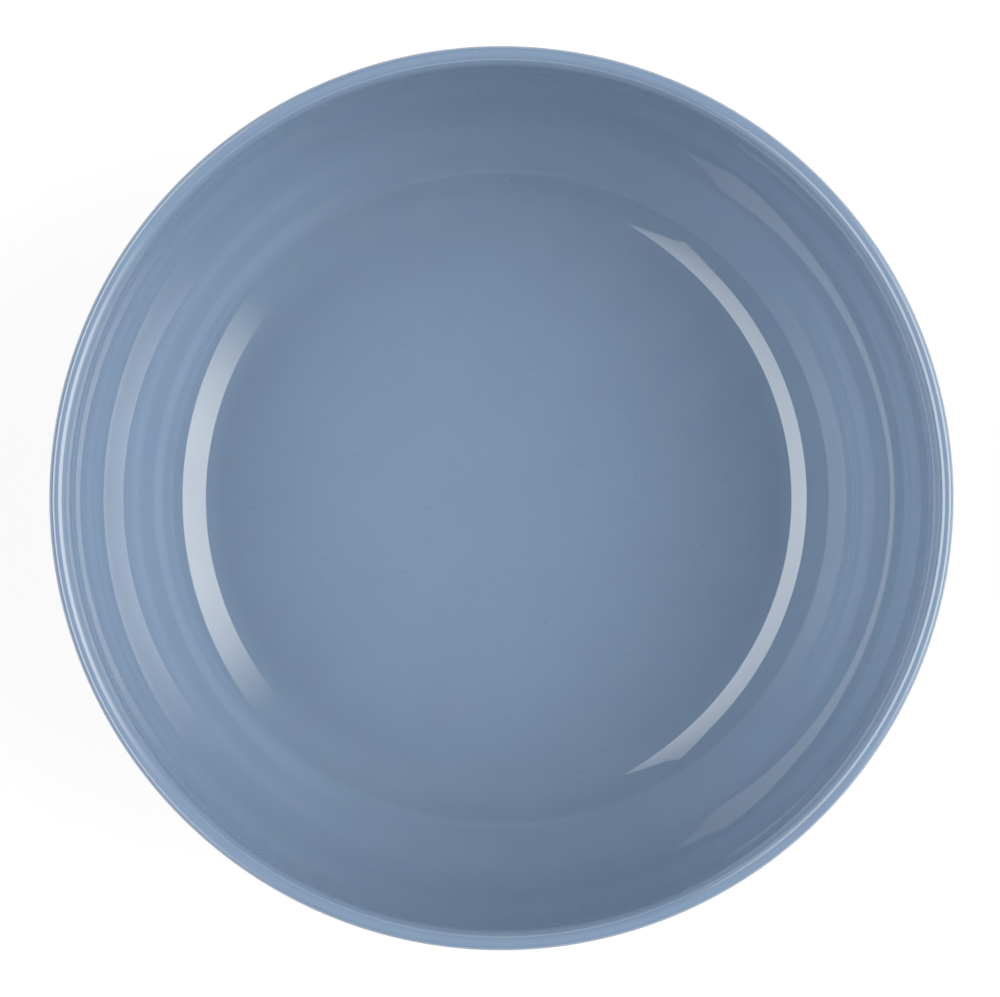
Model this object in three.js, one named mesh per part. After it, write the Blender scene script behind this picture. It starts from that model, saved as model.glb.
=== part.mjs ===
import * as THREE from 'three';

// A round serving bowl with a rounded lip, and a soft ring pressed into the groove of its foot.
// Lengths are in millimetres and +Z is up. The origin is on the axis, on the surface the bowl stands on.

// Lip: the two roundings meet at its top, and a wider shoulder eases the inner one into the wall.
// The shoulder starts where the lip falls inwards at this angle from level.
const RIM_DIAMETER = 250;
const LIP_OUTER_ROUNDING = 1.7;
const LIP_INNER_ROUNDING = 3;
const LIP_SHOULDER_RADIUS = 6;
const LIP_SHOULDER_SLOPE_DEGREES = 50;

// Inside of the bowl: the wall bends up from the flat floor in three arcs that meet smoothly.
// Each slope is the wall's angle from level where an arc ends.
const INNER_DEPTH = 71.5;
const CORNER_RADIUS = 18.5;
const CORNER_SLOPE_DEGREES = 33;
const LOWER_WALL_RADIUS = 54.5;
const LOWER_WALL_SLOPE_DEGREES = 71;
const LIP_SLOPE_DEGREES = 88;
const WALL_THICKNESS = 4;

// Foot: two ribs with a groove between them, and a recess inside the inner rib
const FOOT_INSET = 2;
const FOOT_HEIGHT = 3;
const RIB_WIDTH = 2.5;
const RIB_ROUNDING = 0.8;
const GROOVE_DEPTH = 2.5;
const RECESS_DEPTH = 2.5;

// Soft ring
const RING_WIDTH = 6;
const RING_ROUNDING = 1;
const RING_STAND = 1;
const RING_SIDE_CLEARANCE = 0.3;

// How finely the round forms are divided
const PROFILE_TOLERANCE = 0.08;
const SAME_POINT_DISTANCE = 0.000001;
const SEGMENTS_AROUND = 64;

const DOWN = -Math.PI / 2;
const OUTWARD = 0;
const UP = Math.PI / 2;
const INWARD = Math.PI;
const LEVEL = 0;
const cornerSlope = THREE.MathUtils.degToRad(CORNER_SLOPE_DEGREES);
const lowerWallSlope = THREE.MathUtils.degToRad(LOWER_WALL_SLOPE_DEGREES);
const lipSlope = THREE.MathUtils.degToRad(LIP_SLOPE_DEGREES);
const shoulderSlope = THREE.MathUtils.degToRad(LIP_SHOULDER_SLOPE_DEGREES);

// Heights, from the surface that the ring rests on
const ribBottomHeight = RING_STAND;
const grooveTopHeight = ribBottomHeight + GROOVE_DEPTH;
const recessTopHeight = ribBottomHeight + RECESS_DEPTH;
const undersideHeight = ribBottomHeight + FOOT_HEIGHT;
const floorHeight = undersideHeight + WALL_THICKNESS;
const rimHeight = floorHeight + INNER_DEPTH;

// Both lip roundings have their centres under the top of the lip. The shoulder carries on from the inner one.
const lipTopRadius = RIM_DIAMETER / 2 - LIP_OUTER_ROUNDING;
const lipOuterCentre = new THREE.Vector2(lipTopRadius, rimHeight - LIP_OUTER_ROUNDING);
const lipInnerCentre = new THREE.Vector2(lipTopRadius, rimHeight - LIP_INNER_ROUNDING);
const shoulderFacing = new THREE.Vector2(-Math.sin(shoulderSlope), Math.cos(shoulderSlope));
const shoulderCentre = lipInnerCentre.clone()
  .addScaledVector(shoulderFacing, LIP_INNER_ROUNDING - LIP_SHOULDER_RADIUS);

// How far an arc of the wall goes outwards and upwards between two slopes
const bendRun = (radius, from, to) => radius * (Math.sin(to) - Math.sin(from));
const bendRise = (radius, from, to) => radius * (Math.cos(from) - Math.cos(to));

// The upper wall takes up the depth that the corner, the lower wall and the inner side of the lip leave.
const upperWallRise = INNER_DEPTH
  - bendRise(CORNER_RADIUS, LEVEL, cornerSlope)
  - bendRise(LOWER_WALL_RADIUS, cornerSlope, lowerWallSlope)
  - bendRise(LIP_SHOULDER_RADIUS, shoulderSlope, lipSlope)
  - bendRise(LIP_INNER_ROUNDING, LEVEL, shoulderSlope);
const upperWallRadius = upperWallRise / bendRise(1, lowerWallSlope, lipSlope);
const floorRadius = lipTopRadius
  - bendRun(LIP_INNER_ROUNDING, LEVEL, shoulderSlope)
  - bendRun(LIP_SHOULDER_RADIUS, shoulderSlope, lipSlope)
  - bendRun(upperWallRadius, lowerWallSlope, lipSlope)
  - bendRun(LOWER_WALL_RADIUS, cornerSlope, lowerWallSlope)
  - bendRun(CORNER_RADIUS, LEVEL, cornerSlope);

// The way out through the wall at a slope, and the centre of an arc that carries on smoothly from another.
const wallFacing = (slope) => new THREE.Vector2(Math.sin(slope), -Math.cos(slope));
const carriedOn = (centre, radius, nextRadius, slope) => (
  centre.clone().addScaledVector(wallFacing(slope), radius - nextRadius)
);
const cornerCentre = new THREE.Vector2(floorRadius, floorHeight + CORNER_RADIUS);
const lowerWallCentre = carriedOn(cornerCentre, CORNER_RADIUS, LOWER_WALL_RADIUS, cornerSlope);
const upperWallCentre = carriedOn(lowerWallCentre, LOWER_WALL_RADIUS, upperWallRadius, lowerWallSlope);

// The outer wall keeps the thickness up to the end of the lower wall. Above it, one arc carries on from there
// and touches the outer lip rounding.
const outerCornerRadius = CORNER_RADIUS + WALL_THICKNESS;
const outerLowerRadius = LOWER_WALL_RADIUS + WALL_THICKNESS;
const lowerToLip = lipOuterCentre.clone().sub(lowerWallCentre);
const lipReach = outerLowerRadius - LIP_OUTER_ROUNDING;
const outerUpperRadius = outerLowerRadius + (lipReach ** 2 - lowerToLip.lengthSq())
  / (2 * (lowerToLip.dot(wallFacing(lowerWallSlope)) - lipReach));
const outerUpperCentre = carriedOn(lowerWallCentre, outerLowerRadius, outerUpperRadius, lowerWallSlope);
const outerLipFacing = lipOuterCentre.clone().sub(outerUpperCentre);
const outerLipAngle = Math.atan2(outerLipFacing.y, outerLipFacing.x);

// Radii of the foot, from its outer side inwards
const footRadius = floorRadius - FOOT_INSET;
const grooveOuterRadius = footRadius - RIB_WIDTH;
const ringOuterRadius = grooveOuterRadius - RING_SIDE_CLEARANCE;
const ringInnerRadius = ringOuterRadius - RING_WIDTH;
const grooveInnerRadius = ringInnerRadius - RING_SIDE_CLEARANCE;
const recessRadius = grooveInnerRadius - RIB_WIDTH;

// Points along an arc of a profile, close enough together to stay within the tolerance.
function arc(centre, radius, from, to) {
  const widestStep = 2 * Math.acos(1 - Math.min(PROFILE_TOLERANCE / radius, 1));
  const steps = Math.ceil(Math.abs(to - from) / widestStep);
  return Array.from({ length: steps + 1 }, (_, index) => {
    const angle = THREE.MathUtils.lerp(from, to, index / steps);
    return new THREE.Vector2(Math.cos(angle), Math.sin(angle)).multiplyScalar(radius).add(centre);
  });
}

// A profile of radius and height, turned about the bowl's upright axis.
function turned(profile) {
  const points = profile.filter((point, index) => (
    index === 0 || point.distanceTo(profile[index - 1]) > SAME_POINT_DISTANCE
  ));
  return new THREE.LatheGeometry(points, SEGMENTS_AROUND).rotateX(Math.PI / 2);
}

// The shell's profile runs out along the underside, up the outer wall, over the lip and down the inside.
function shellProfile() {
  const ribRoundingHeight = ribBottomHeight + RIB_ROUNDING;
  const innerRibCentre = new THREE.Vector2(recessRadius + RIB_ROUNDING, ribRoundingHeight);
  const outerRibCentre = new THREE.Vector2(footRadius - RIB_ROUNDING, ribRoundingHeight);
  return [
    new THREE.Vector2(0, recessTopHeight),
    new THREE.Vector2(recessRadius, recessTopHeight),
    ...arc(innerRibCentre, RIB_ROUNDING, -INWARD, DOWN),
    new THREE.Vector2(grooveInnerRadius, ribBottomHeight),
    new THREE.Vector2(grooveInnerRadius, grooveTopHeight),
    new THREE.Vector2(grooveOuterRadius, grooveTopHeight),
    new THREE.Vector2(grooveOuterRadius, ribBottomHeight),
    ...arc(outerRibCentre, RIB_ROUNDING, DOWN, OUTWARD),
    new THREE.Vector2(footRadius, undersideHeight),
    ...arc(cornerCentre, outerCornerRadius, DOWN, DOWN + cornerSlope),
    ...arc(lowerWallCentre, outerLowerRadius, DOWN + cornerSlope, DOWN + lowerWallSlope),
    ...arc(outerUpperCentre, outerUpperRadius, DOWN + lowerWallSlope, outerLipAngle),
    ...arc(lipOuterCentre, LIP_OUTER_ROUNDING, outerLipAngle, UP),
    ...arc(lipInnerCentre, LIP_INNER_ROUNDING, UP, UP + shoulderSlope),
    ...arc(shoulderCentre, LIP_SHOULDER_RADIUS, UP + shoulderSlope, UP + lipSlope),
    ...arc(upperWallCentre, upperWallRadius, DOWN + lipSlope, DOWN + lowerWallSlope),
    ...arc(lowerWallCentre, LOWER_WALL_RADIUS, DOWN + lowerWallSlope, DOWN + cornerSlope),
    ...arc(cornerCentre, CORNER_RADIUS, DOWN + cornerSlope, DOWN),
    new THREE.Vector2(0, floorHeight),
  ];
}

// The ring's profile goes once round its section: flat on top in the groove, rounded where it rests.
function ringProfile() {
  const bottomInnerCentre = new THREE.Vector2(ringInnerRadius + RING_ROUNDING, RING_ROUNDING);
  const bottomOuterCentre = new THREE.Vector2(ringOuterRadius - RING_ROUNDING, RING_ROUNDING);
  const section = [
    ...arc(bottomInnerCentre, RING_ROUNDING, -INWARD, DOWN),
    ...arc(bottomOuterCentre, RING_ROUNDING, DOWN, OUTWARD),
    new THREE.Vector2(ringOuterRadius, grooveTopHeight),
    new THREE.Vector2(ringInnerRadius, grooveTopHeight),
  ];
  return [...section, section[0].clone()];
}

const glossyShell = new THREE.MeshStandardMaterial({ color: 0x7f94ae, roughness: 0.12, metalness: 0 });
const softRubber = new THREE.MeshStandardMaterial({ color: 0x4d5763, roughness: 0.75, metalness: 0 });

const bowlShell = new THREE.Mesh(turned(shellProfile()), glossyShell);
bowlShell.name = 'bowl_shell';

const nonSlipRing = new THREE.Mesh(turned(ringProfile()), softRubber);
nonSlipRing.name = 'non_slip_ring';

const bowl = new THREE.Group();
bowl.add(bowlShell, nonSlipRing);

export default bowl;
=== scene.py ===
import math

import bpy
import numpy as np
from mathutils import Matrix, Vector


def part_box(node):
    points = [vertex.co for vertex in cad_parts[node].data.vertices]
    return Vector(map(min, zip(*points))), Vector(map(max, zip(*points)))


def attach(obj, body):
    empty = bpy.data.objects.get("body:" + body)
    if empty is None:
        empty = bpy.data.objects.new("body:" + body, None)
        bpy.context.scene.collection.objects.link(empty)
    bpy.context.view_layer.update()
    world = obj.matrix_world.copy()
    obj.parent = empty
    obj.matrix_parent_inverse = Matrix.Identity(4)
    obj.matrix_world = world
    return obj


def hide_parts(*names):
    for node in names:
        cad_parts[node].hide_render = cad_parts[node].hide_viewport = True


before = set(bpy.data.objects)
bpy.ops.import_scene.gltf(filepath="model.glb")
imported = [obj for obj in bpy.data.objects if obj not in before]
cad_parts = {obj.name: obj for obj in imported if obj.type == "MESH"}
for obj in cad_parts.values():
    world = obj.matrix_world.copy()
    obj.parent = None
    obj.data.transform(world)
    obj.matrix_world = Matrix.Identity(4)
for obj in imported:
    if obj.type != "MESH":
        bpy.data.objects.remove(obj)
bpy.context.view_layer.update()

# A round, glossy serving bowl seen from straight above. Lengths are in metres, in the frame's own axes.

# Places that the frame gives
shell_low, shell_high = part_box("bowl_shell")
ring_low, ring_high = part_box("non_slip_ring")
RIM_RADIUS = (shell_high.x - shell_low.x) / 2
RIM_HEIGHT = shell_high.z
RIB_HEIGHT = shell_low.z
RING_OUTER_RADIUS = (ring_high.x - ring_low.x) / 2
GROOVE_HEIGHT = ring_high.z

# Lip: two roundings that meet at its top, and a wider shoulder on its inner side
LIP_OUTER_ROUNDING = 0.0017
LIP_INNER_ROUNDING = 0.003
LIP_SHOULDER_RADIUS = 0.006
LIP_SHOULDER_SLOPE = math.radians(50)

# Inside of the bowl: three arcs that meet smoothly, each up to a slope measured from level
INNER_DEPTH = 0.0715
CORNER_RADIUS = 0.0185
CORNER_SLOPE = math.radians(33)
LOWER_WALL_RADIUS = 0.0545
LOWER_WALL_SLOPE = math.radians(71)
LIP_SLOPE = math.radians(88)
WALL_THICKNESS = 0.004

# Foot
FOOT_INSET = 0.002
FOOT_FILLET = 0.0012
RIB_WIDTH = 0.0025
RIB_ROUNDING = 0.0008
RECESS_DEPTH = 0.0025
RECESS_FILLET = 0.0015
GROOVE_EDGE_ROUNDING = 0.0003

# Soft ring
RING_WIDTH = 0.006
RING_ROUNDING = 0.001
RING_TOP_ROUNDING = 0.0003
RING_CLEARANCE = 0.0003
GRIP_GROOVE_COUNT = 2
GRIP_GROOVE_DEPTH = 0.00035
GRIP_GROOVE_WIDTH = 0.0007

# Places that follow from the sizes
FLOOR_HEIGHT = RIM_HEIGHT - INNER_DEPTH
UNDERSIDE_HEIGHT = FLOOR_HEIGHT - WALL_THICKNESS
RECESS_HEIGHT = RIB_HEIGHT + RECESS_DEPTH
GROOVE_OUTER_RADIUS = RING_OUTER_RADIUS + RING_CLEARANCE
GROOVE_INNER_RADIUS = RING_OUTER_RADIUS - RING_WIDTH - RING_CLEARANCE
RECESS_RADIUS = GROOVE_INNER_RADIUS - RIB_WIDTH
SATIN_ATTRIBUTE = "satin_zone"

# Fineness of the surfaces
SEGMENTS_AROUND = 256
ARC_STEP = math.radians(1.5)
SMALL_ARC_RADIUS = 0.002
SMALL_ARC_STEP = math.radians(6)
LINE_STEP = 0.004
GRIP_FACE_POINTS = 81
SAME_POINT_DISTANCE = 1e-7

LEVEL = 0.0
OUTWARD = 0.0
UP = math.pi / 2
DOWN = -math.pi / 2
INWARD = math.pi


def arc(centre, radius, start, end):
    """Points of an arc: centre + radius (cos a, sin a), with a running evenly from start to end.

    Small arcs are divided into wider steps.
    """
    widest_step = SMALL_ARC_STEP if radius < SMALL_ARC_RADIUS else ARC_STEP
    steps = math.ceil(abs(end - start) / widest_step)
    angle = np.linspace(start, end, steps + 1)
    return np.column_stack((centre[0] + radius * np.cos(angle), centre[1] + radius * np.sin(angle)))


def joined(*runs):
    """Joins runs of points end to end, drops repeated points and divides long straight stretches evenly."""
    corners = np.vstack(runs)
    length = np.hypot(*np.diff(corners, axis=0).T)
    corners = corners[np.concatenate(([True], length > SAME_POINT_DISTANCE))]
    length = np.hypot(*np.diff(corners, axis=0).T)
    along = np.concatenate(([0.0], np.cumsum(length)))
    parts = np.maximum(1, np.ceil(length / LINE_STEP)).astype(int)
    step = np.arange(parts.sum()) - np.repeat(np.cumsum(parts) - parts, parts)
    where = np.append(np.repeat(along[:-1], parts) + step * np.repeat(length / parts, parts), along[-1])
    return np.column_stack((np.interp(where, along, corners[:, 0]), np.interp(where, along, corners[:, 1])))


def turned_mesh(name, profile, closed):
    """Carries a profile of radius and height round the upright axis.

    Point (i, j) is (r_j cos a_i, r_j sin a_i, z_j) with a_i = 2 pi i / segments. A closed profile joins its
    end to its start. An open one starts and ends on the axis, where each end is one pole point.
    """
    radius, height = profile.T if closed else profile[1:-1].T
    count = len(radius)
    turn = np.arange(SEGMENTS_AROUND)
    angle = turn * (2 * math.pi / SEGMENTS_AROUND)
    x = np.outer(np.cos(angle), radius)
    y = np.outer(np.sin(angle), radius)
    points = np.stack((x, y, np.broadcast_to(height, x.shape)), axis=-1).reshape(-1, 3)

    here = turn[:, None] * count
    beyond = ((turn + 1) % SEGMENTS_AROUND)[:, None] * count
    j = np.arange(count if closed else count - 1)[None, :]
    next_j = (j + 1) % count
    faces = np.stack((here + j, beyond + j, beyond + next_j, here + next_j), axis=-1).reshape(-1, 4).tolist()
    if not closed:
        first_pole = len(points)
        last_pole = first_pole + 1
        points = np.vstack((points, [[0, 0, profile[0, 1]], [0, 0, profile[-1, 1]]]))
        here, beyond = here[:, 0], beyond[:, 0]
        faces += np.column_stack((np.full_like(here, first_pole), beyond, here)).tolist()
        here, beyond = here + count - 1, beyond + count - 1
        faces += np.column_stack((np.full_like(here, last_pole), here, beyond)).tolist()
    mesh = bpy.data.meshes.new(name)
    mesh.from_pydata(points.tolist(), [], faces)
    mesh.polygons.foreach_set("use_smooth", np.ones(len(mesh.polygons), dtype=bool))
    mesh.update()
    return mesh


def add_piece(name, mesh, material, node):
    """Puts a finished mesh into the scene in place of its node."""
    piece = bpy.data.objects.new(name, mesh)
    bpy.context.scene.collection.objects.link(piece)
    mesh.materials.append(material)
    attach(piece, "root")
    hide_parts(node)


# Shell


def facing(slope):
    """The way out through the wall where it has this slope from level."""
    return np.array((math.sin(slope), -math.cos(slope)))


def bend(radius, start, end):
    """How far an arc of the wall goes outwards and upwards between two slopes."""
    return radius * np.array((math.sin(end) - math.sin(start), math.cos(start) - math.cos(end)))


def shell_profile():
    """The shell's section: out along the underside, up the outer wall, over the lip and down the inside.

    Three arcs lead from the floor to the lip. Each centre lies on the line through the last arc's end and
    its centre, so the arcs meet smoothly. The outer wall follows at the wall's thickness up to the last arc,
    where one arc carries on and touches the outer lip rounding.
    """
    lip_top_radius = RIM_RADIUS - LIP_OUTER_ROUNDING
    lip_outer = np.array((lip_top_radius, RIM_HEIGHT - LIP_OUTER_ROUNDING))
    lip_inner = np.array((lip_top_radius, RIM_HEIGHT - LIP_INNER_ROUNDING))
    shoulder = lip_inner + (LIP_SHOULDER_RADIUS - LIP_INNER_ROUNDING) * facing(LIP_SHOULDER_SLOPE)
    fixed_bends = (
        bend(CORNER_RADIUS, LEVEL, CORNER_SLOPE)
        + bend(LOWER_WALL_RADIUS, CORNER_SLOPE, LOWER_WALL_SLOPE)
        + bend(LIP_SHOULDER_RADIUS, LIP_SHOULDER_SLOPE, LIP_SLOPE)
        + bend(LIP_INNER_ROUNDING, LEVEL, LIP_SHOULDER_SLOPE)
    )
    unit_bend = bend(1, LOWER_WALL_SLOPE, LIP_SLOPE)
    upper_radius = (INNER_DEPTH - fixed_bends[1]) / unit_bend[1]
    floor_radius = lip_top_radius - fixed_bends[0] - upper_radius * unit_bend[0]
    corner = np.array((floor_radius, FLOOR_HEIGHT + CORNER_RADIUS))
    lower = corner + (CORNER_RADIUS - LOWER_WALL_RADIUS) * facing(CORNER_SLOPE)
    upper = lower + (LOWER_WALL_RADIUS - upper_radius) * facing(LOWER_WALL_SLOPE)

    outer_lower_radius = LOWER_WALL_RADIUS + WALL_THICKNESS
    to_lip = lip_outer - lower
    lip_reach = outer_lower_radius - LIP_OUTER_ROUNDING
    extra_radius = (lip_reach**2 - to_lip @ to_lip) / (2 * (to_lip @ facing(LOWER_WALL_SLOPE) - lip_reach))
    outer_upper = lower - extra_radius * facing(LOWER_WALL_SLOPE)
    outer_lip_angle = math.atan2(*(lip_outer - outer_upper)[::-1])

    foot_radius = floor_radius - FOOT_INSET
    rib_centre_height = RIB_HEIGHT + RIB_ROUNDING
    edge = GROOVE_EDGE_ROUNDING
    return joined(
        [(0.0, RECESS_HEIGHT)],
        arc((RECESS_RADIUS - RECESS_FILLET, RECESS_HEIGHT - RECESS_FILLET), RECESS_FILLET, UP, OUTWARD),
        arc((RECESS_RADIUS + RIB_ROUNDING, rib_centre_height), RIB_ROUNDING, -INWARD, DOWN),
        arc((GROOVE_INNER_RADIUS - edge, RIB_HEIGHT + edge), edge, DOWN, OUTWARD),
        [(GROOVE_INNER_RADIUS, GROOVE_HEIGHT), (GROOVE_OUTER_RADIUS, GROOVE_HEIGHT)],
        arc((GROOVE_OUTER_RADIUS + edge, RIB_HEIGHT + edge), edge, -INWARD, DOWN),
        arc((foot_radius - RIB_ROUNDING, rib_centre_height), RIB_ROUNDING, DOWN, OUTWARD),
        arc((foot_radius + FOOT_FILLET, UNDERSIDE_HEIGHT - FOOT_FILLET), FOOT_FILLET, INWARD, UP),
        arc(corner, CORNER_RADIUS + WALL_THICKNESS, DOWN, DOWN + CORNER_SLOPE),
        arc(lower, outer_lower_radius, DOWN + CORNER_SLOPE, DOWN + LOWER_WALL_SLOPE),
        arc(outer_upper, outer_lower_radius + extra_radius, DOWN + LOWER_WALL_SLOPE, outer_lip_angle),
        arc(lip_outer, LIP_OUTER_ROUNDING, outer_lip_angle, UP),
        arc(lip_inner, LIP_INNER_ROUNDING, UP, UP + LIP_SHOULDER_SLOPE),
        arc(shoulder, LIP_SHOULDER_RADIUS, UP + LIP_SHOULDER_SLOPE, UP + LIP_SLOPE),
        arc(upper, upper_radius, DOWN + LIP_SLOPE, DOWN + LOWER_WALL_SLOPE),
        arc(lower, LOWER_WALL_RADIUS, DOWN + LOWER_WALL_SLOPE, DOWN + CORNER_SLOPE),
        arc(corner, CORNER_RADIUS, DOWN + CORNER_SLOPE, DOWN),
        [(0.0, FLOOR_HEIGHT)],
    )


# Ring


def ring_profile():
    """The ring's section: flat on top, rounded edges, and shallow grip grooves across the face it rests on.

    The resting face is z = depth * sum over grooves of exp(-((r - groove) / half width)^2).
    """
    outer = RING_OUTER_RADIUS
    inner = outer - RING_WIDTH
    face = np.linspace(inner + RING_ROUNDING, outer - RING_ROUNDING, GRIP_FACE_POINTS)
    middles = np.linspace(face[0], face[-1], GRIP_GROOVE_COUNT + 2)[1:-1]
    dips = np.exp(-(((face[:, None] - middles) / (GRIP_GROOVE_WIDTH / 2)) ** 2)).sum(axis=1)
    top_centre_height = GROOVE_HEIGHT - RING_TOP_ROUNDING
    return joined(
        arc((inner + RING_ROUNDING, RING_ROUNDING), RING_ROUNDING, -INWARD, DOWN),
        np.column_stack((face, GRIP_GROOVE_DEPTH * dips)),
        arc((outer - RING_ROUNDING, RING_ROUNDING), RING_ROUNDING, DOWN, OUTWARD),
        arc((outer - RING_TOP_ROUNDING, top_centre_height), RING_TOP_ROUNDING, OUTWARD, UP),
        arc((inner + RING_TOP_ROUNDING, top_centre_height), RING_TOP_ROUNDING, UP, INWARD),
    )


# Finishes: patterns in object coordinates, with lengths in metres and scales in repeats per metre
SLATE_BLUE = (0.174, 0.246, 0.359, 1)
DARK_SLATE = (0.055, 0.07, 0.09, 1)
BODY_IOR = 1.68
GLAZE_IOR = 1.5
GLAZE_ROUGHNESS = 0.01
GLOSS_ROUGHNESS = (0.008, 0.02)
GLOSS_NOISE_SPAN = (0.35, 0.7)
SATIN_ROUGHNESS = 0.38
RUBBER_ROUGHNESS = (0.6, 0.8)
RUBBER_NOISE_SPAN = (0.3, 0.7)
SPOT_EDGE = (0.4, 1.0)
SPECK_DARKENING = 0.18
FLECK_CONTRAST = 0.07
DUST_LIGHTENING = 0.6


def worked(tree, operation, first, second):
    """One step of arithmetic on two values, each a number or a socket."""
    node = tree.nodes.new("ShaderNodeMath")
    node.operation = operation
    for socket, value in zip(node.inputs, (first, second)):
        if isinstance(value, bpy.types.NodeSocket):
            tree.links.new(value, socket)
        else:
            socket.default_value = value
    return node.outputs[0]


def eased(tree, value, source, target):
    """Carries a value smoothly from one range to another and holds it at the ends."""
    node = tree.nodes.new("ShaderNodeMapRange")
    node.interpolation_type = "SMOOTHSTEP"
    tree.links.new(value, node.inputs["Value"])
    for name, number in zip(("From Min", "From Max", "To Min", "To Max"), (*source, *target)):
        node.inputs[name].default_value = number
    return node.outputs[0]


def noise(tree, scale, detail, distortion=0.0):
    """A noise texture on object coordinates, whose scale is a number or a socket."""
    place = tree.nodes.new("ShaderNodeTexCoord")
    node = tree.nodes.new("ShaderNodeTexNoise")
    tree.links.new(place.outputs["Object"], node.inputs["Vector"])
    if isinstance(scale, bpy.types.NodeSocket):
        tree.links.new(scale, node.inputs["Scale"])
    else:
        node.inputs["Scale"].default_value = scale
    node.inputs["Detail"].default_value = detail
    node.inputs["Distortion"].default_value = distortion
    return node


def new_group(name, inputs, output):
    """An empty shader node group with the named inputs and one output, each a name and a socket type."""
    tree = bpy.data.node_groups.new(name, "ShaderNodeTree")
    for socket_name, socket_type in inputs:
        tree.interface.new_socket(name=socket_name, in_out="INPUT", socket_type=socket_type)
    tree.interface.new_socket(name=output[0], in_out="OUTPUT", socket_type=output[1])
    return tree, tree.nodes.new("NodeGroupInput").outputs, tree.nodes.new("NodeGroupOutput").inputs


def placed(tree, group, values):
    """Puts a group into a material with its own values and gives its output."""
    node = tree.nodes.new("ShaderNodeGroup")
    node.node_tree = group
    for name, value in values.items():
        node.inputs[name].default_value = value
    return node.outputs[0]


def pigment_mottle_group():
    """Colour that drifts a little in lightness and hue, by two channels of a noise centred on no change."""
    tree, given, out = new_group(
        "pigment_mottle",
        (
            ("Color", "NodeSocketColor"),
            ("Scale", "NodeSocketFloat"),
            ("Lightness Drift", "NodeSocketFloat"),
            ("Hue Drift", "NodeSocketFloat"),
        ),
        ("Color", "NodeSocketColor"),
    )
    link = tree.links.new
    channels = tree.nodes.new("ShaderNodeSeparateColor")
    link(noise(tree, scale=given["Scale"], detail=3.0).outputs["Color"], channels.inputs[0])
    lightness = worked(tree, "SUBTRACT", channels.outputs["Red"], 0.5)
    lightness = worked(tree, "MULTIPLY", lightness, given["Lightness Drift"])
    hue = worked(tree, "SUBTRACT", channels.outputs["Green"], 0.5)
    hue = worked(tree, "MULTIPLY", hue, given["Hue Drift"])
    shift = tree.nodes.new("ShaderNodeHueSaturation")
    link(worked(tree, "ADD", hue, 0.5), shift.inputs["Hue"])
    link(worked(tree, "ADD", lightness, 1.0), shift.inputs["Value"])
    link(given["Color"], shift.inputs["Color"])
    link(shift.outputs[0], out["Color"])
    return tree


def speck_group():
    """A mask of scattered specks: round spots at the points of a Voronoi pattern, kept in some of its cells.

    Share is how many cells keep theirs. Length draws the spots out along X. Size is a spot's radius as a
    share of the cell, and a spot fades between the two shares of its radius in SPOT_EDGE.
    """
    tree, given, out = new_group(
        "scattered_specks",
        (
            ("Scale", "NodeSocketFloat"),
            ("Size", "NodeSocketFloat"),
            ("Share", "NodeSocketFloat"),
            ("Length", "NodeSocketFloat"),
        ),
        ("Mask", "NodeSocketFloat"),
    )
    link = tree.links.new
    place = tree.nodes.new("ShaderNodeTexCoord")
    squeeze = tree.nodes.new("ShaderNodeCombineXYZ")
    squeeze.inputs["Y"].default_value = 1
    squeeze.inputs["Z"].default_value = 1
    link(worked(tree, "DIVIDE", 1.0, given["Length"]), squeeze.inputs["X"])
    drawn_out = tree.nodes.new("ShaderNodeVectorMath")
    drawn_out.operation = "MULTIPLY"
    link(place.outputs["Object"], drawn_out.inputs[0])
    link(squeeze.outputs[0], drawn_out.inputs[1])
    cells = tree.nodes.new("ShaderNodeTexVoronoi")
    link(drawn_out.outputs[0], cells.inputs["Vector"])
    link(given["Scale"], cells.inputs["Scale"])
    chance = tree.nodes.new("ShaderNodeSeparateColor")
    link(cells.outputs["Color"], chance.inputs[0])
    kept = worked(tree, "LESS_THAN", chance.outputs["Red"], given["Share"])
    nearness = worked(tree, "DIVIDE", cells.outputs["Distance"], given["Size"])
    spot = eased(tree, nearness, SPOT_EDGE, (1.0, 0.0))
    link(worked(tree, "MULTIPLY", spot, kept), out["Mask"])
    return tree


def waviness_group():
    """Height of a gently uneven surface: smooth noise centred on zero, times a height in metres."""
    tree, given, out = new_group(
        "surface_waviness",
        (("Scale", "NodeSocketFloat"), ("Height", "NodeSocketFloat")),
        ("Height", "NodeSocketFloat"),
    )
    wave = worked(tree, "SUBTRACT", noise(tree, scale=given["Scale"], detail=1.0).outputs["Fac"], 0.5)
    tree.links.new(worked(tree, "MULTIPLY", wave, given["Height"]), out["Height"])
    return tree


pigment_mottle = pigment_mottle_group()
scattered_specks = speck_group()
surface_waviness = waviness_group()


def new_material(name):
    """A material with a Principled shader on its output."""
    material = bpy.data.materials.new(name)
    material.use_nodes = True
    tree = material.node_tree
    return material, tree, tree.nodes["Principled BSDF"]


def shaded(tree, color, lightness, shader):
    """Feeds the base colour with a colour times a lightness that changes over the surface."""
    node = tree.nodes.new("ShaderNodeHueSaturation")
    tree.links.new(color, node.inputs["Color"])
    tree.links.new(lightness, node.inputs["Value"])
    tree.links.new(node.outputs[0], shader.inputs["Base Color"])


def raised(tree, height, shader):
    """Feeds the shader's normal with a bump whose height is in metres."""
    node = tree.nodes.new("ShaderNodeBump")
    node.inputs["Distance"].default_value = 1
    tree.links.new(height, node.inputs["Height"])
    tree.links.new(node.outputs[0], shader.inputs["Normal"])


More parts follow.
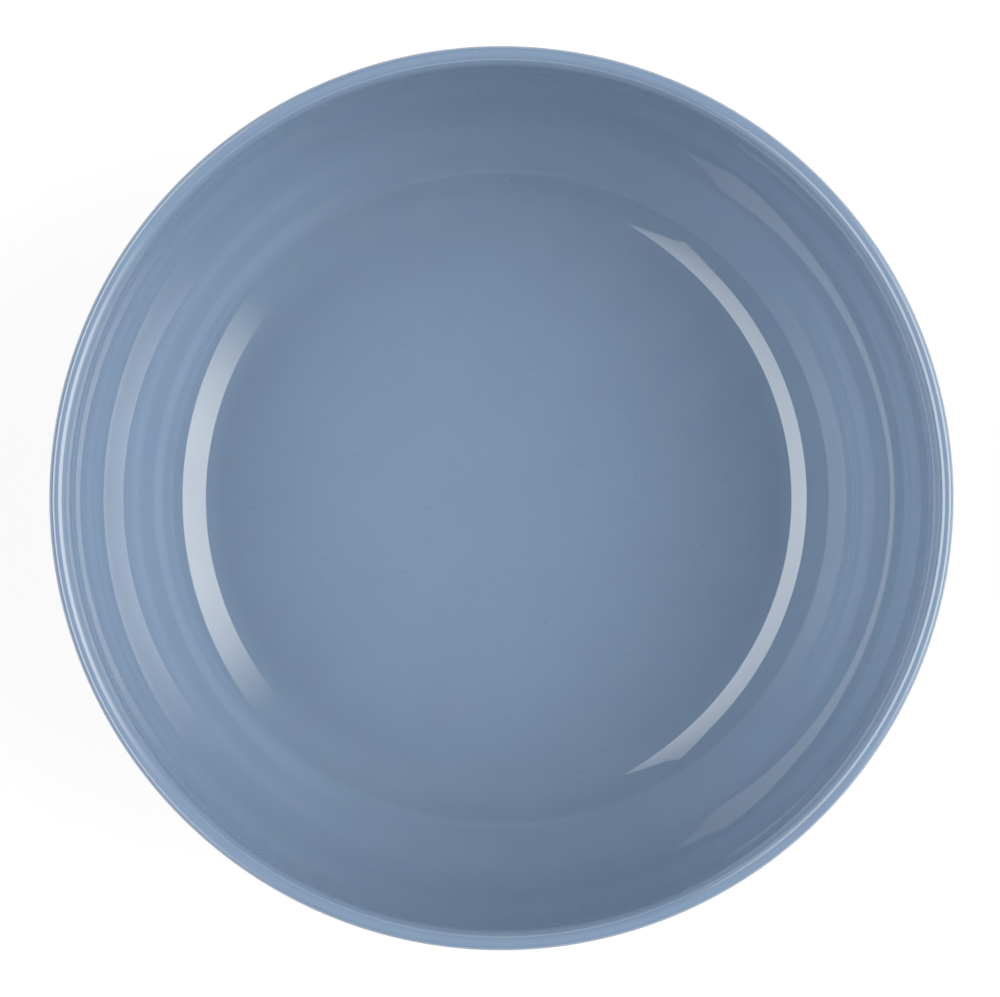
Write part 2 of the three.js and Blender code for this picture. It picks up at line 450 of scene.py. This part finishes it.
def glossy_shell_material():
    """Moulded slate blue with faint flecks and a few dark specks, under a clear glaze.

    The recess under the foot has no glaze and is satin.
    """
    material, tree, shader = new_material("glossy_slate_blue")
    shader.inputs["IOR"].default_value = BODY_IOR
    shader.inputs["Coat IOR"].default_value = GLAZE_IOR
    shader.inputs["Coat Roughness"].default_value = GLAZE_ROUGHNESS
    color = placed(
        tree, pigment_mottle, {"Color": SLATE_BLUE, "Scale": 70, "Lightness Drift": 0.07, "Hue Drift": 0.02}
    )
    specks = placed(tree, scattered_specks, {"Scale": 100, "Size": 0.055, "Share": 0.35, "Length": 1})
    dark_flecks = placed(tree, scattered_specks, {"Scale": 300, "Size": 0.17, "Share": 0.3, "Length": 2.2})
    light_flecks = placed(tree, scattered_specks, {"Scale": 260, "Size": 0.13, "Share": 0.2, "Length": 2.2})
    flecks = worked(tree, "MULTIPLY", worked(tree, "SUBTRACT", light_flecks, dark_flecks), FLECK_CONTRAST)
    lightness = worked(tree, "SUBTRACT", flecks, worked(tree, "MULTIPLY", specks, SPECK_DARKENING))
    shaded(tree, color, worked(tree, "ADD", lightness, 1.0), shader)

    satin = tree.nodes.new("ShaderNodeAttribute")
    satin.attribute_name = SATIN_ATTRIBUTE
    wiping = noise(tree, scale=22, detail=4.0, distortion=1.2).outputs["Fac"]
    wiped = eased(tree, wiping, GLOSS_NOISE_SPAN, GLOSS_ROUGHNESS)
    satin_roughness = worked(tree, "MULTIPLY", satin.outputs["Fac"], SATIN_ROUGHNESS)
    tree.links.new(worked(tree, "MAXIMUM", wiped, satin_roughness), shader.inputs["Roughness"])
    tree.links.new(worked(tree, "SUBTRACT", 1.0, satin.outputs["Fac"]), shader.inputs["Coat Weight"])

    wave = placed(tree, surface_waviness, {"Scale": 60, "Height": 0.000005})
    grain = placed(tree, surface_waviness, {"Scale": 2200, "Height": 0.00001})
    raised(tree, worked(tree, "ADD", wave, worked(tree, "MULTIPLY", grain, satin.outputs["Fac"])), shader)
    return material


def soft_ring_material():
    """Matt dark slate rubber with a fine grain and specks of pale dust."""
    material, tree, shader = new_material("matt_dark_slate")
    color = placed(
        tree, pigment_mottle, {"Color": DARK_SLATE, "Scale": 180, "Lightness Drift": 0.35, "Hue Drift": 0.02}
    )
    dust = placed(tree, scattered_specks, {"Scale": 420, "Size": 0.12, "Share": 0.3, "Length": 1})
    shaded(tree, color, worked(tree, "ADD", worked(tree, "MULTIPLY", dust, DUST_LIGHTENING), 1.0), shader)
    rubbing = noise(tree, scale=90, detail=3.0).outputs["Fac"]
    tree.links.new(eased(tree, rubbing, RUBBER_NOISE_SPAN, RUBBER_ROUGHNESS), shader.inputs["Roughness"])
    raised(tree, placed(tree, surface_waviness, {"Scale": 1500, "Height": 0.00003}), shader)
    return material


def mark_satin_zone(mesh):
    """Gives each point its share of satin: 1 in the recess under the foot, falling to 0 at its inner rib."""
    points = np.empty(3 * len(mesh.vertices))
    mesh.vertices.foreach_get("co", points)
    x, y, z = points.reshape(-1, 3).T
    inside = np.clip((RECESS_RADIUS - np.hypot(x, y)) / RECESS_FILLET, 0, 1)
    zone = mesh.attributes.new(SATIN_ATTRIBUTE, "FLOAT", "POINT")
    zone.data.foreach_set("value", np.where(z < UNDERSIDE_HEIGHT, inside, 0.0))


shell_mesh = turned_mesh("shell_surface", shell_profile(), closed=False)
mark_satin_zone(shell_mesh)
add_piece("shell_surface", shell_mesh, glossy_shell_material(), "bowl_shell")
ring_mesh = turned_mesh("ring_surface", ring_profile(), closed=True)
add_piece("ring_surface", ring_mesh, soft_ring_material(), "non_slip_ring")

# Stage: floor, lamps, world and camera
FLOOR_HALF_SIDE = 8.0
FLOOR_COLOR = (0.8, 0.8, 0.8, 1)
SHADOW_SHARE = 0.25
floor_mesh = bpy.data.meshes.new("studio_floor")
floor_mesh.from_pydata(
    [(x * FLOOR_HALF_SIDE, y * FLOOR_HALF_SIDE, 0) for x, y in ((-1, -1), (1, -1), (1, 1), (-1, 1))],
    [],
    [(0, 1, 2, 3)],
)
floor = bpy.data.objects.new("studio_floor", floor_mesh)
bpy.context.scene.collection.objects.link(floor)


def seen_directly(tree):
    """1 where the camera, a mirror or glass looks at the surface, 0 where stray light meets it."""
    path = tree.nodes.new("ShaderNodeLightPath").outputs
    seen = worked(tree, "MAXIMUM", path["Is Camera Ray"], path["Is Glossy Ray"])
    return worked(tree, "MAXIMUM", seen, path["Is Transmission Ray"])


def floor_material():
    """A white floor: mostly plain white with a faint shadow where it is seen, and pale to stray light."""
    material, tree, shader = new_material("white_floor")
    nodes, link = tree.nodes, tree.links.new
    nodes.remove(shader)
    pale = nodes.new("ShaderNodeBsdfDiffuse")
    pale.inputs["Color"].default_value = FLOOR_COLOR
    white = nodes.new("ShaderNodeEmission")
    lit = nodes.new("ShaderNodeBsdfDiffuse")
    lit.inputs["Color"].default_value = (1, 1, 1, 1)
    shadowed = nodes.new("ShaderNodeMixShader")
    shadowed.inputs["Fac"].default_value = SHADOW_SHARE
    link(white.outputs[0], shadowed.inputs[1])
    link(lit.outputs[0], shadowed.inputs[2])
    choose = nodes.new("ShaderNodeMixShader")
    link(seen_directly(tree), choose.inputs["Fac"])
    link(pale.outputs[0], choose.inputs[1])
    link(shadowed.outputs[0], choose.inputs[2])
    link(choose.outputs[0], nodes["Material Output"].inputs["Surface"])
    return material


floor_mesh.materials.append(floor_material())

# Lamps: long soft boxes on both sides, a little behind the bowl's middle
LAMPS_BEHIND = 0.025


def strip_lamp(name, top, bottom, half_length, power, color, fade):
    """A flat soft lamp with level long edges, given by where its top and bottom edges cross the XZ plane.

    Its brightness eases from 1 at the first share of its half length to 0 at the second. The lamp's
    own coordinate runs from 0 to 1 along its length.
    """
    data = bpy.data.lights.new(name, "AREA")
    data.shape = "RECTANGLE"
    rise = Vector((top[0] - bottom[0], 0, top[1] - bottom[1]))
    data.size = 2 * half_length
    data.size_y = rise.length
    data.energy = power
    data.color = color
    data.use_nodes = True
    tree = data.node_tree
    split = tree.nodes.new("ShaderNodeSeparateXYZ")
    tree.links.new(tree.nodes.new("ShaderNodeNewGeometry").outputs["Parametric"], split.inputs[0])
    from_middle = worked(tree, "ABSOLUTE", worked(tree, "SUBTRACT", split.outputs["X"], 0.5), 0.0)
    brightness = eased(tree, worked(tree, "MULTIPLY", from_middle, 2.0), fade, (1.0, 0.0))
    tree.links.new(brightness, tree.nodes["Emission"].inputs["Strength"])
    lamp = bpy.data.objects.new(name, data)
    upward = rise.normalized()
    along = Vector((0, math.copysign(1, top[0]), 0))
    axes = Matrix((along, upward, along.cross(upward))).transposed().to_4x4()
    middle = Vector(((top[0] + bottom[0]) / 2, LAMPS_BEHIND, (top[1] + bottom[1]) / 2))
    lamp.matrix_world = Matrix.Translation(middle) @ axes
    lamp.visible_camera = False
    bpy.context.scene.collection.objects.link(lamp)


strip_lamp(
    "right_lamp",
    top=(0.75, 1.56),
    bottom=(0.75, 0.385),
    half_length=0.70,
    power=16.7,
    color=(1.0, 0.95, 0.85),
    fade=(0.22, 0.97),
)
strip_lamp(
    "left_lamp",
    top=(-0.45, 1.257),
    bottom=(-0.711, 0.64),
    half_length=1.03,
    power=16.8,
    color=(1.0, 0.99, 0.95),
    fade=(-0.6, 1.7),
)

# World: glow from the sides of the studio, and a white backdrop where the horizon is seen
RIGHT_GLOW = 35.0
LEFT_GLOW = 20.0
GLOW_SIDEWAYS_POWER = 4
GLOW_UPWARD_POWER = 2
BACKDROP_EDGE = (0.03, 0.25)
BACKDROP_RISE = 0.13


def studio_world():
    """Glow from half way up both sides, and a white backdrop that fades upwards.

    The glow is a power of how far a direction points sideways times a power of how far it points up. The
    backdrop's edge rises with the square of how far a direction points to the front or the back.
    """
    world = bpy.data.worlds.new("studio")
    world.use_nodes = True
    tree = world.node_tree
    nodes, link = tree.nodes, tree.links.new
    split = nodes.new("ShaderNodeSeparateXYZ")
    link(nodes.new("ShaderNodeTexCoord").outputs["Generated"], split.inputs[0])
    upward = worked(tree, "POWER", worked(tree, "MAXIMUM", split.outputs["Z"], 0.0), GLOW_UPWARD_POWER)
    glows = []
    for side, strength in ((1.0, RIGHT_GLOW), (-1.0, LEFT_GLOW)):
        sideways = worked(tree, "MAXIMUM", worked(tree, "MULTIPLY", split.outputs["X"], side), 0.0)
        glow = worked(tree, "MULTIPLY", worked(tree, "POWER", sideways, GLOW_SIDEWAYS_POWER), upward)
        glows.append(worked(tree, "MULTIPLY", glow, strength))
    choose = nodes.new("ShaderNodeMix")
    link(seen_directly(tree), choose.inputs["Factor"])
    link(worked(tree, "ADD", *glows), choose.inputs["A"])
    rise = worked(tree, "MULTIPLY", worked(tree, "POWER", split.outputs["Y"], 2.0), BACKDROP_RISE)
    backdrop_height = worked(tree, "SUBTRACT", split.outputs["Z"], rise)
    link(eased(tree, backdrop_height, BACKDROP_EDGE, (1.0, 0.0)), choose.inputs["B"])
    nodes["Background"].inputs["Color"].default_value = (1, 1, 1, 1)
    link(choose.outputs["Result"], nodes["Background"].inputs["Strength"])
    return world


bpy.context.scene.world = studio_world()
bpy.context.scene.view_settings.view_transform = "Standard"

# Camera: straight above, a little left of the axis, aimed so that the rim fills the picture as in the photo
PICTURE_WIDTH = 1000
PICTURE_HEIGHT = 997
RIM_PIXEL_RADIUS = 453.0
RIM_PIXEL_CENTRE = (501.85, 498.2)
CAMERA_ABOVE_RIM = 1.15
CAMERA_ASIDE = -0.009
pixel_size = RIM_RADIUS / RIM_PIXEL_RADIUS
camera_data = bpy.data.cameras.new("overhead_camera")
camera_data.lens = camera_data.sensor_width * CAMERA_ABOVE_RIM / (PICTURE_WIDTH * pixel_size)
camera = bpy.data.objects.new("overhead_camera", camera_data)
stand = Vector((CAMERA_ASIDE, 0, RIM_HEIGHT + CAMERA_ABOVE_RIM))
aim = Vector((
    (PICTURE_WIDTH / 2 - RIM_PIXEL_CENTRE[0]) * pixel_size,
    (RIM_PIXEL_CENTRE[1] - PICTURE_HEIGHT / 2) * pixel_size,
    RIM_HEIGHT,
))
backward = (stand - aim).normalized()
rightward = Vector((0, 1, 0)).cross(backward).normalized()
axes = Matrix((rightward, backward.cross(rightward), backward)).transposed().to_4x4()
camera.matrix_world = Matrix.Translation(stand) @ axes
bpy.context.scene.collection.objects.link(camera)
bpy.context.scene.camera = camera
